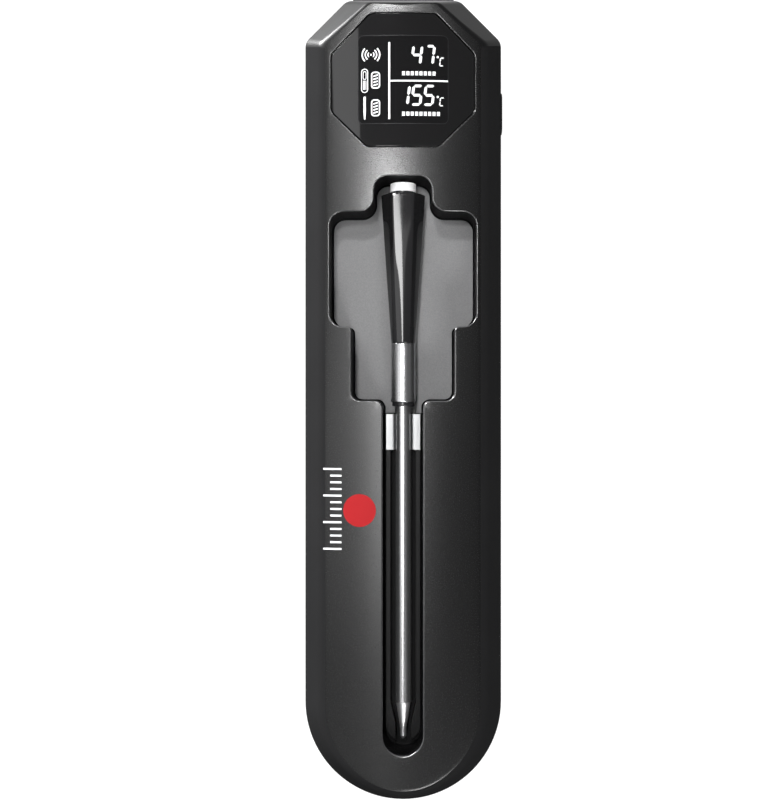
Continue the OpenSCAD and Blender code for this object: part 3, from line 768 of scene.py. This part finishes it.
def ring(shape, x, y, r, width, start=0.0, end=360.0, steps=24):
    """A flat ring or part of one."""
    angles = [math.radians(start + (end - start) * i / steps) for i in range(steps + 1)]
    outer = [(x + (r + width / 2) * math.cos(a), y + (r + width / 2) * math.sin(a)) for a in angles]
    inner = [(x + (r - width / 2) * math.cos(a), y + (r - width / 2) * math.sin(a)) for a in angles]
    band(shape, np.array(inner), np.array(outer), abs(end - start) >= 360)


def band(shape, inner, outer, closed, proud=MARK_PROUD):
    """A thin strip between two lines that lies on the window."""
    rings = [at_height(line, glass(line[:, 0]) + lift) for line, lift in
             ((inner, -MARK_SUNK), (inner, proud), (outer, proud), (outer, -MARK_SUNK), (inner, -MARK_SUNK))]
    rows = shape.loft(rings, closed, flip=True)
    if not closed:
        for k in (0, -1):
            shape.cap([rows[i][k] for i in range(4)], flip=(k == -1))


def frame_ring(shape, x0, y0, x1, y1, r, w, proud=MARK_PROUD):
    """A thin band round a rectangle with rounded corners."""
    outer = rounded([(x, y, r) for x, y in ((x0, y0), (x1, y0), (x1, y1), (x0, y1))], 5)
    outer = densify(outer, splits(outer, 1.0))
    band(shape, outer - outward(outer) * w, outer, True, proud)


def field(x):
    """Height of the display's dark field."""
    return glass(x) + 0.008


def display_field():
    x0, y0, x1, y1 = edges = (-10.7, 65.4, 10.8, 86.4)
    radius = 1.3
    shape = Shape()
    outline = rounded([(x0, y0, radius), (x1, y0, radius), (x1, y1, radius), (x0, y1, radius)], 6)
    outline = anticlockwise(densify(outline, splits(outline, LONGEST)))
    rows = shape.loft([at_height(outline, glass(outline[:, 0]) - MARK_SUNK),
                       at_height(outline, field(outline[:, 0]))])
    shape.cap(rows[0], flip=True)
    fill(shape, rows[1], [], field)
    follow(build(shape, "display_field", "root", SCREEN_FIELD), field, CROWN_R - LENS_STEP)
    rim = Shape()
    frame_ring(rim, *edges, radius, 0.14, 0.014)
    build(rim, "display_rim", "root", SCREEN_EDGE, smooth=False)


def display_marks():
    """Two readings, rows of blocks for their captions, and the signs at the left."""
    shape = Shape()
    bar(shape, -3.45, 66.5, -3.02, 84.7)
    bar(shape, -3.02, 75.4, 10.7, 75.77)
    for char, x, y, w, h in (("4", 2.05, 79.55, 2.0, 4.25), ("7", 5.2, 79.55, 1.8, 4.25),
                             ("1", -0.95, 69.95, 2.0, 4.4), ("5", 2.05, 69.95, 2.0, 4.4),
                             ("5", 4.95, 69.95, 2.0, 4.4)):
        figure(shape, char, x, y, w, h, FIGURE_HALF)
    for y in (79.2, 69.75):
        ring(shape, 8.25, y + 2.05, 0.16, 0.2, steps=16)
        figure(shape, "C", 8.7, y, 0.85, 1.85, SIGN_HALF)
    block, pitch = 0.72, 1.03
    for y, count in ((76.85, 8), (67.3, 9)):
        for k in range(count):
            bar(shape, -0.2 + k * pitch, y, -0.2 + k * pitch + block, y + 0.95)
    wave_x, wave_y = -7.57, 81.8
    ring(shape, wave_x, wave_y, 0.12, 0.2, steps=16)
    for r, half_angle, width in ((0.72, 45, 0.24), (1.36, 52, 0.28), (2.08, 46, 0.32)):
        for turn in (0, 180):
            ring(shape, wave_x, wave_y, r, width, turn - half_angle, turn + half_angle, 12)
    mark(shape, rounded([(-9.22, 66.5, 0.1), (-8.92, 66.5, 0.1), (-8.8, 68.2, 0.05), (-8.8, 71.9, 0.2),
                         (-9.34, 71.9, 0.2), (-9.34, 68.2, 0.05)], 3))
    frame_ring(shape, -9.9, 72.8, -8.26, 78.5, 0.8, 0.17)
    frame_ring(shape, -9.5, 75.9, -8.66, 77.9, 0.4, 0.14)
    for k in range(3):
        bar(shape, -9.46 + k * 0.32, 73.5, -9.32 + k * 0.32, 75.7)
    for y in (73.75, 67.2):
        frame_ring(shape, -7.55, y, -5.4, y + 4.0, 0.75, 0.3)
        for k in range(4):
            low = y + 0.6 + k * 0.72
            mark(shape, [(-7.0, low), (-5.95, low + 0.3), (-5.95, low + 0.62), (-7.0, low + 0.32)])
    build(shape, "display_marks", "root", SCREEN, smooth=False)


display_field()
display_marks()


# ---- printed mark --------------------------------------------------------------------
PRINT = 0.03    # height of the print above the front face, and its depth below


def on_crown(shape, outline):
    """A thin print that follows the curve of the front face."""
    outline = anticlockwise(outline)
    top = at_height(outline, crown(outline[:, 0]) + PRINT)
    low = at_height(outline, crown(outline[:, 0]) - PRINT)
    rows = shape.loft([low, top])
    shape.cap(rows[1])
    shape.cap(rows[0], flip=True)


def printed_mark():
    scale = Shape()
    x0, x1, y0, y1, short = -19.0, -14.6, -35.4, -16.4, 1.7
    count, half = 13, 0.22
    for k in range(count):
        y = y0 + (y1 - y0) * k / (count - 1)
        left = x0 if k % 4 == 0 else x0 + short
        on_crown(scale, [(left, y - half), (x1, y - half), (x1, y + half), (left, y + half)])
    build(scale, "printed_scale", "root", MARK_WHITE, smooth=False)
    disc = Shape()
    turns = np.linspace(0, 2 * math.pi, 48, endpoint=False)
    way = np.column_stack([np.cos(turns), np.sin(turns)])
    rings = [np.array([-10.3, -26.2]) + way * r for r in (0.01, 1, 2, 3, 3.9)]
    rings = [at_height(xy, crown(xy[:, 0]) + PRINT) for xy in rings] + [
        at_height(xy, crown(xy[:, 0]) - PRINT) for xy in reversed(rings)]
    rows = disc.loft(rings)
    disc.cap(rows[0])
    disc.cap(rows[-1])
    build(disc, "printed_disc", "root", MARK_RED, smooth=False)


printed_mark()


# ---- probe ----------------------------------------------------------------------------
GRIP_LOW_R = 3.15   # of the grip where it meets the ferrule


def handle():
    """Six facets at the cap, softening to a round at the ferrule."""
    shape = Shape()
    length = CAP_Y - HANDLE_Y
    cos30 = math.cos(math.pi / 6)
    across = np.linspace(-1, 1, 25)[:-1]
    across = np.sign(across) * (1 - (1 - np.abs(across)) ** 1.8)
    sixth = math.pi / 6
    angles = np.concatenate([sixth * (2 * k + 1 + across) for k in range(6)])
    off = np.concatenate([sixth * across for k in range(6)])
    ends = [(0.0, 0.35), (0.04, 0.12), (0.12, 0.03), (0.3, 0.0)]
    stations = ends + [(d, 0.0) for d in np.linspace(0.8, length - 0.8, 44)]
    stations += [(length - d, inset) for d, inset in reversed(ends)]
    blur = 0.03
    rings = []
    for d, inset in stations:
        s = d / length
        wide = GRIP_LOW_R + (HANDLE_R - GRIP_LOW_R) * s
        soft = 0.03 + 0.80 * (1 - s) ** 2.0
        flat = wide * cos30 / np.cos(off)
        corner = wide * 0.985
        flat = -blur * np.log(np.exp(-(flat - corner) / blur) + 1) + corner
        r = flat * (1 - soft) + wide * cos30 * 1.03 * soft - inset
        rings.append(np.column_stack([r * np.cos(angles), np.full(len(r), HANDLE_Y + d),
                                      AXIS_Z + r * np.sin(angles)]))
    rows = shape.loft(rings)
    shape.cap(rows[0])
    shape.cap(rows[-1])
    weigh(build(shape, "grip", "probe", HANDLE, ("probe_handle",)))


handle()
FERRULE_Y = mm_box("probe_ferrule")[0][1]
SEAL_LOW, SEAL_HIGH = mm_box("ferrule_seal")
SHAFT_LOW, SHAFT_HIGH = mm_box("probe_shaft")
TIP_Y = mm_box("probe_tip")[0][1]
CAP_END_Y = mm_box("probe_cap")[1][1]
SHAFT_R = SHAFT_HIGH[0]
CAP_GAP_Y = CAP_Y + 0.65
CAP_R, CAP_RING_R, FERRULE_R, SEAL_R = 3.1, 2.9, 3.0, 2.7
# The end cap's finish carries the painted glow.
turned("end_cap", [(CAP_GAP_Y, 0, 0), (CAP_GAP_Y, CAP_R, 0.12), (CAP_END_Y, CAP_R, 0.25),
                   (CAP_END_Y, 0, 0)], CAP_WITH_PAINTED_GLOW, "probe_cap")
turned("cap_ring", [(CAP_Y, 0, 0), (CAP_Y, CAP_RING_R, 0.1), (CAP_GAP_Y, CAP_RING_R, 0.1),
                    (CAP_GAP_Y, 0, 0)], RING, "cap_insulator")
turned("ferrule", [(FERRULE_Y, 0, 0), (FERRULE_Y, FERRULE_R, 0.15), (HANDLE_Y, FERRULE_R, 0.15),
                   (HANDLE_Y, 0, 0)], STEEL, "probe_ferrule")
turned("ring_seal", [(SEAL_LOW[1], 0, 0), (SEAL_LOW[1], SEAL_R, 0.2), (SEAL_HIGH[1], SEAL_R, 0.2),
                     (SEAL_HIGH[1], 0, 0)], RING, "ferrule_seal")
turned("shaft", [(SHAFT_LOW[1], 0, 0), (SHAFT_LOW[1], SHAFT_R, 0.08), (SEAL_LOW[1] + 0.2, SHAFT_R, 0),
                 (SEAL_LOW[1] + 0.2, 0, 0)], STEEL, "probe_shaft")
CONE_Y = SHAFT_LOW[1]
CONE_R, COLLAR_R, NIB_R, END_R = 1.75, 0.9, 0.8, 0.4
turned("tip", [(CONE_Y, 0, 0), (CONE_Y, CONE_R, 0.05), (CONE_Y - 0.25, CONE_R, 0.1),
               (CONE_Y - 5.75, COLLAR_R, 0.05), (CONE_Y - 6.1, COLLAR_R, 0.08), (CONE_Y - 6.2, NIB_R, 0.05),
               (CONE_Y - 8.3, NIB_R, 0.2), (CONE_Y - 8.9, END_R, 0.15), (TIP_Y, 0, 0)],
       TIP, "probe_tip")

CLIP_LOW, CLIP_HIGH = mm_box("contact_clip")


def clip():
    """One bent strip: an arched flange on each ledge, two legs and a base under the shaft."""
    out_x, in_x, thick = CLIP_HIGH[0], 2.25, 0.15
    top, base = CLIP_HIGH[2] - thick, 12.75
    arch = [(out_x + (in_x + 0.1 - out_x) * s, top - 0.03 * (2 * s - 1) ** 2)
            for s in np.linspace(0, 1, 13)]
    right = arch + [(in_x, top - 0.3), (in_x, base + 0.3), (in_x - 0.1, base + 0.08), (in_x - 0.3, base)]
    line = np.array(right + [(-x, z) for x, z in reversed(right)])
    ahead = np.gradient(line, axis=0)
    normal = np.column_stack([-ahead[:, 1], ahead[:, 0]])
    normal /= np.linalg.norm(normal, axis=1)[:, None]
    section = np.vstack([line + normal * thick, (line - normal * thick)[::-1]])
    shape = Shape()
    y0, y1 = CLIP_LOW[1], CLIP_HIGH[1]
    rows = shape.loft([np.column_stack([section[:, 0], np.full(len(section), y), section[:, 1]])
                       for y in (y0, y0 + 0.08, y0 + 0.3, y1 - 0.3, y1 - 0.08, y1)])
    shape.cap(rows[0], flip=True)
    shape.cap(rows[-1])
    weigh(build(shape, "clip", "root", CONTACT, ("contact_clip",)))


clip()
for name, width in dict(tray_floor=0.1, rear_cover=0.35, rear_pad=0.3, port_flap=0.25, side_button=0.3,
                        usb_socket=0.04, case_screws=0.12).items():
    finish_node(name, width)


# ---- floor, lights, camera ---------------------------------------------------------------
def stage(name, rings, colour, emission):
    """A pale surface that stands round the object."""
    shape = Shape()
    shape.loft(rings)
    mesh = bpy.data.meshes.new(name)
    mesh.from_pydata([(x * MM, y * MM, z * MM) for x, y, z in shape.points], [], shape.faces)
    obj = bpy.data.objects.new(name, mesh)
    bpy.context.scene.collection.objects.link(obj)
    mesh.materials.append(material(name, (colour,) * 3, 0.8, spread=0.01, grain=(200.0, 0.0),
                                   specular=0.0, emission=emission / colour))
    return obj


def circle(radius, z):
    turns = np.linspace(0, 2 * math.pi, 64, endpoint=False)
    return np.column_stack([radius * np.cos(turns), radius * np.sin(turns), np.full(len(turns), z)])


STUDIO_R = 4000.0
stage("floor", [circle(r, 0) for r in (0.01, 400, STUDIO_R)], 0.12, 0.96)
backdrop = stage("backdrop", [circle(STUDIO_R * math.cos(a), STUDIO_R * math.sin(a))
                              for a in np.linspace(0, math.pi / 2 - 0.001, 10)], 0.5, 0.97)
backdrop.visible_diffuse = backdrop.visible_glossy = backdrop.visible_shadow = False


def softbox(name, x_span, y_span, radiance, distance=1.0):
    """A light overhead that fills a span of directions, in degrees from upright along X and Y."""
    x0, x1, y0, y1 = (math.tan(math.radians(a)) for a in (*x_span, *y_span))
    way = Vector(((x0 + x1) / 2, (y0 + y1) / 2, 1.0))
    reach = distance / way.length
    light = bpy.data.lights.new(name, "AREA")
    light.shape = "RECTANGLE"
    light.size = (x1 - x0) * reach
    light.size_y = (y1 - y0) * reach / way.length
    light.energy = radiance * math.pi * light.size * light.size_y
    obj = bpy.data.objects.new(name, light)
    obj.location = Vector((0, 0, DOCK_T * MM)) + way * reach
    tilt = math.atan2(way.y, 1.0)
    lean = math.atan2(way.x, math.hypot(way.y, 1.0))
    obj.rotation_euler = (Matrix.Rotation(-tilt, 3, "X") @ Matrix.Rotation(lean, 3, "Y")).to_euler()
    obj.visible_camera = False
    bpy.context.scene.collection.objects.link(obj)


softbox("strip_far", (-9.5, -2.4), (26.3, 31), 185.0)
softbox("strip_mid", (-9.5, -2.6), (8.5, 13.6), 135.0)
softbox("strip_near", (-9.3, -1.6), (-12, 8.3), 13.8)
softbox("window_band", (-24, -15.6), (14, 26.5), 3.5)
softbox("left_box", (-45, 6), (-15, 8), 1.25, 0.98)
softbox("left_low", (-45, -11), (-52, -15), 0.5)
softbox("left_wall", (-75, -50), (-30, 30), 0.4)
softbox("low_strip", (-10.5, -3), (-34, -12), 1.1)
softbox("tip_strip", (-14, 2), (-50, -36), 0.9)
softbox("low_fill", (4, 32), (-57, -42), 32.0)


def low_light(name, azimuth, height, size, radiance):
    """A square light that stands low beside the object, in metres."""
    light = bpy.data.lights.new(name, "AREA")
    light.size = size
    light.energy = radiance * math.pi * size * size
    obj = bpy.data.objects.new(name, light)
    way = Vector((math.cos(math.radians(azimuth)), math.sin(math.radians(azimuth)), 0))
    obj.location = way * 0.6 + Vector((0, 0, height))
    obj.rotation_euler = way.to_track_quat("Z", "Y").to_euler()
    obj.visible_camera = False
    bpy.context.scene.collection.objects.link(obj)


low_light("corner", 133, 0.07, 0.15, 290.0)

world = bpy.data.worlds.new("studio")
world.use_nodes = True
world.node_tree.nodes["Background"].inputs["Color"].default_value = (0.08, 0.08, 0.081, 1)
bpy.context.scene.world = world
bpy.context.scene.view_settings.view_transform = "Standard"

CAMERA_HEIGHT = 282.0   # above the rest face
PLANE_Z = 15.5          # the level at which the frame is VIEW_HEIGHT high
VIEW_HEIGHT = 194.0
CAMERA_X = 3.0
MIDDLE_X = 2.716        # how far the dock's middle lies right of the frame's middle
camera_data = bpy.data.cameras.new("camera")
camera_data.sensor_width = 36.0
camera_data.lens = camera_data.sensor_width * (CAMERA_HEIGHT - PLANE_Z) / VIEW_HEIGHT
camera = bpy.data.objects.new("camera", camera_data)
camera.location = (CAMERA_X * MM, 0.0, CAMERA_HEIGHT * MM)
camera_data.shift_x = -(MIDDLE_X + CAMERA_X) / VIEW_HEIGHT
bpy.context.scene.collection.objects.link(camera)
bpy.context.scene.camera = camera
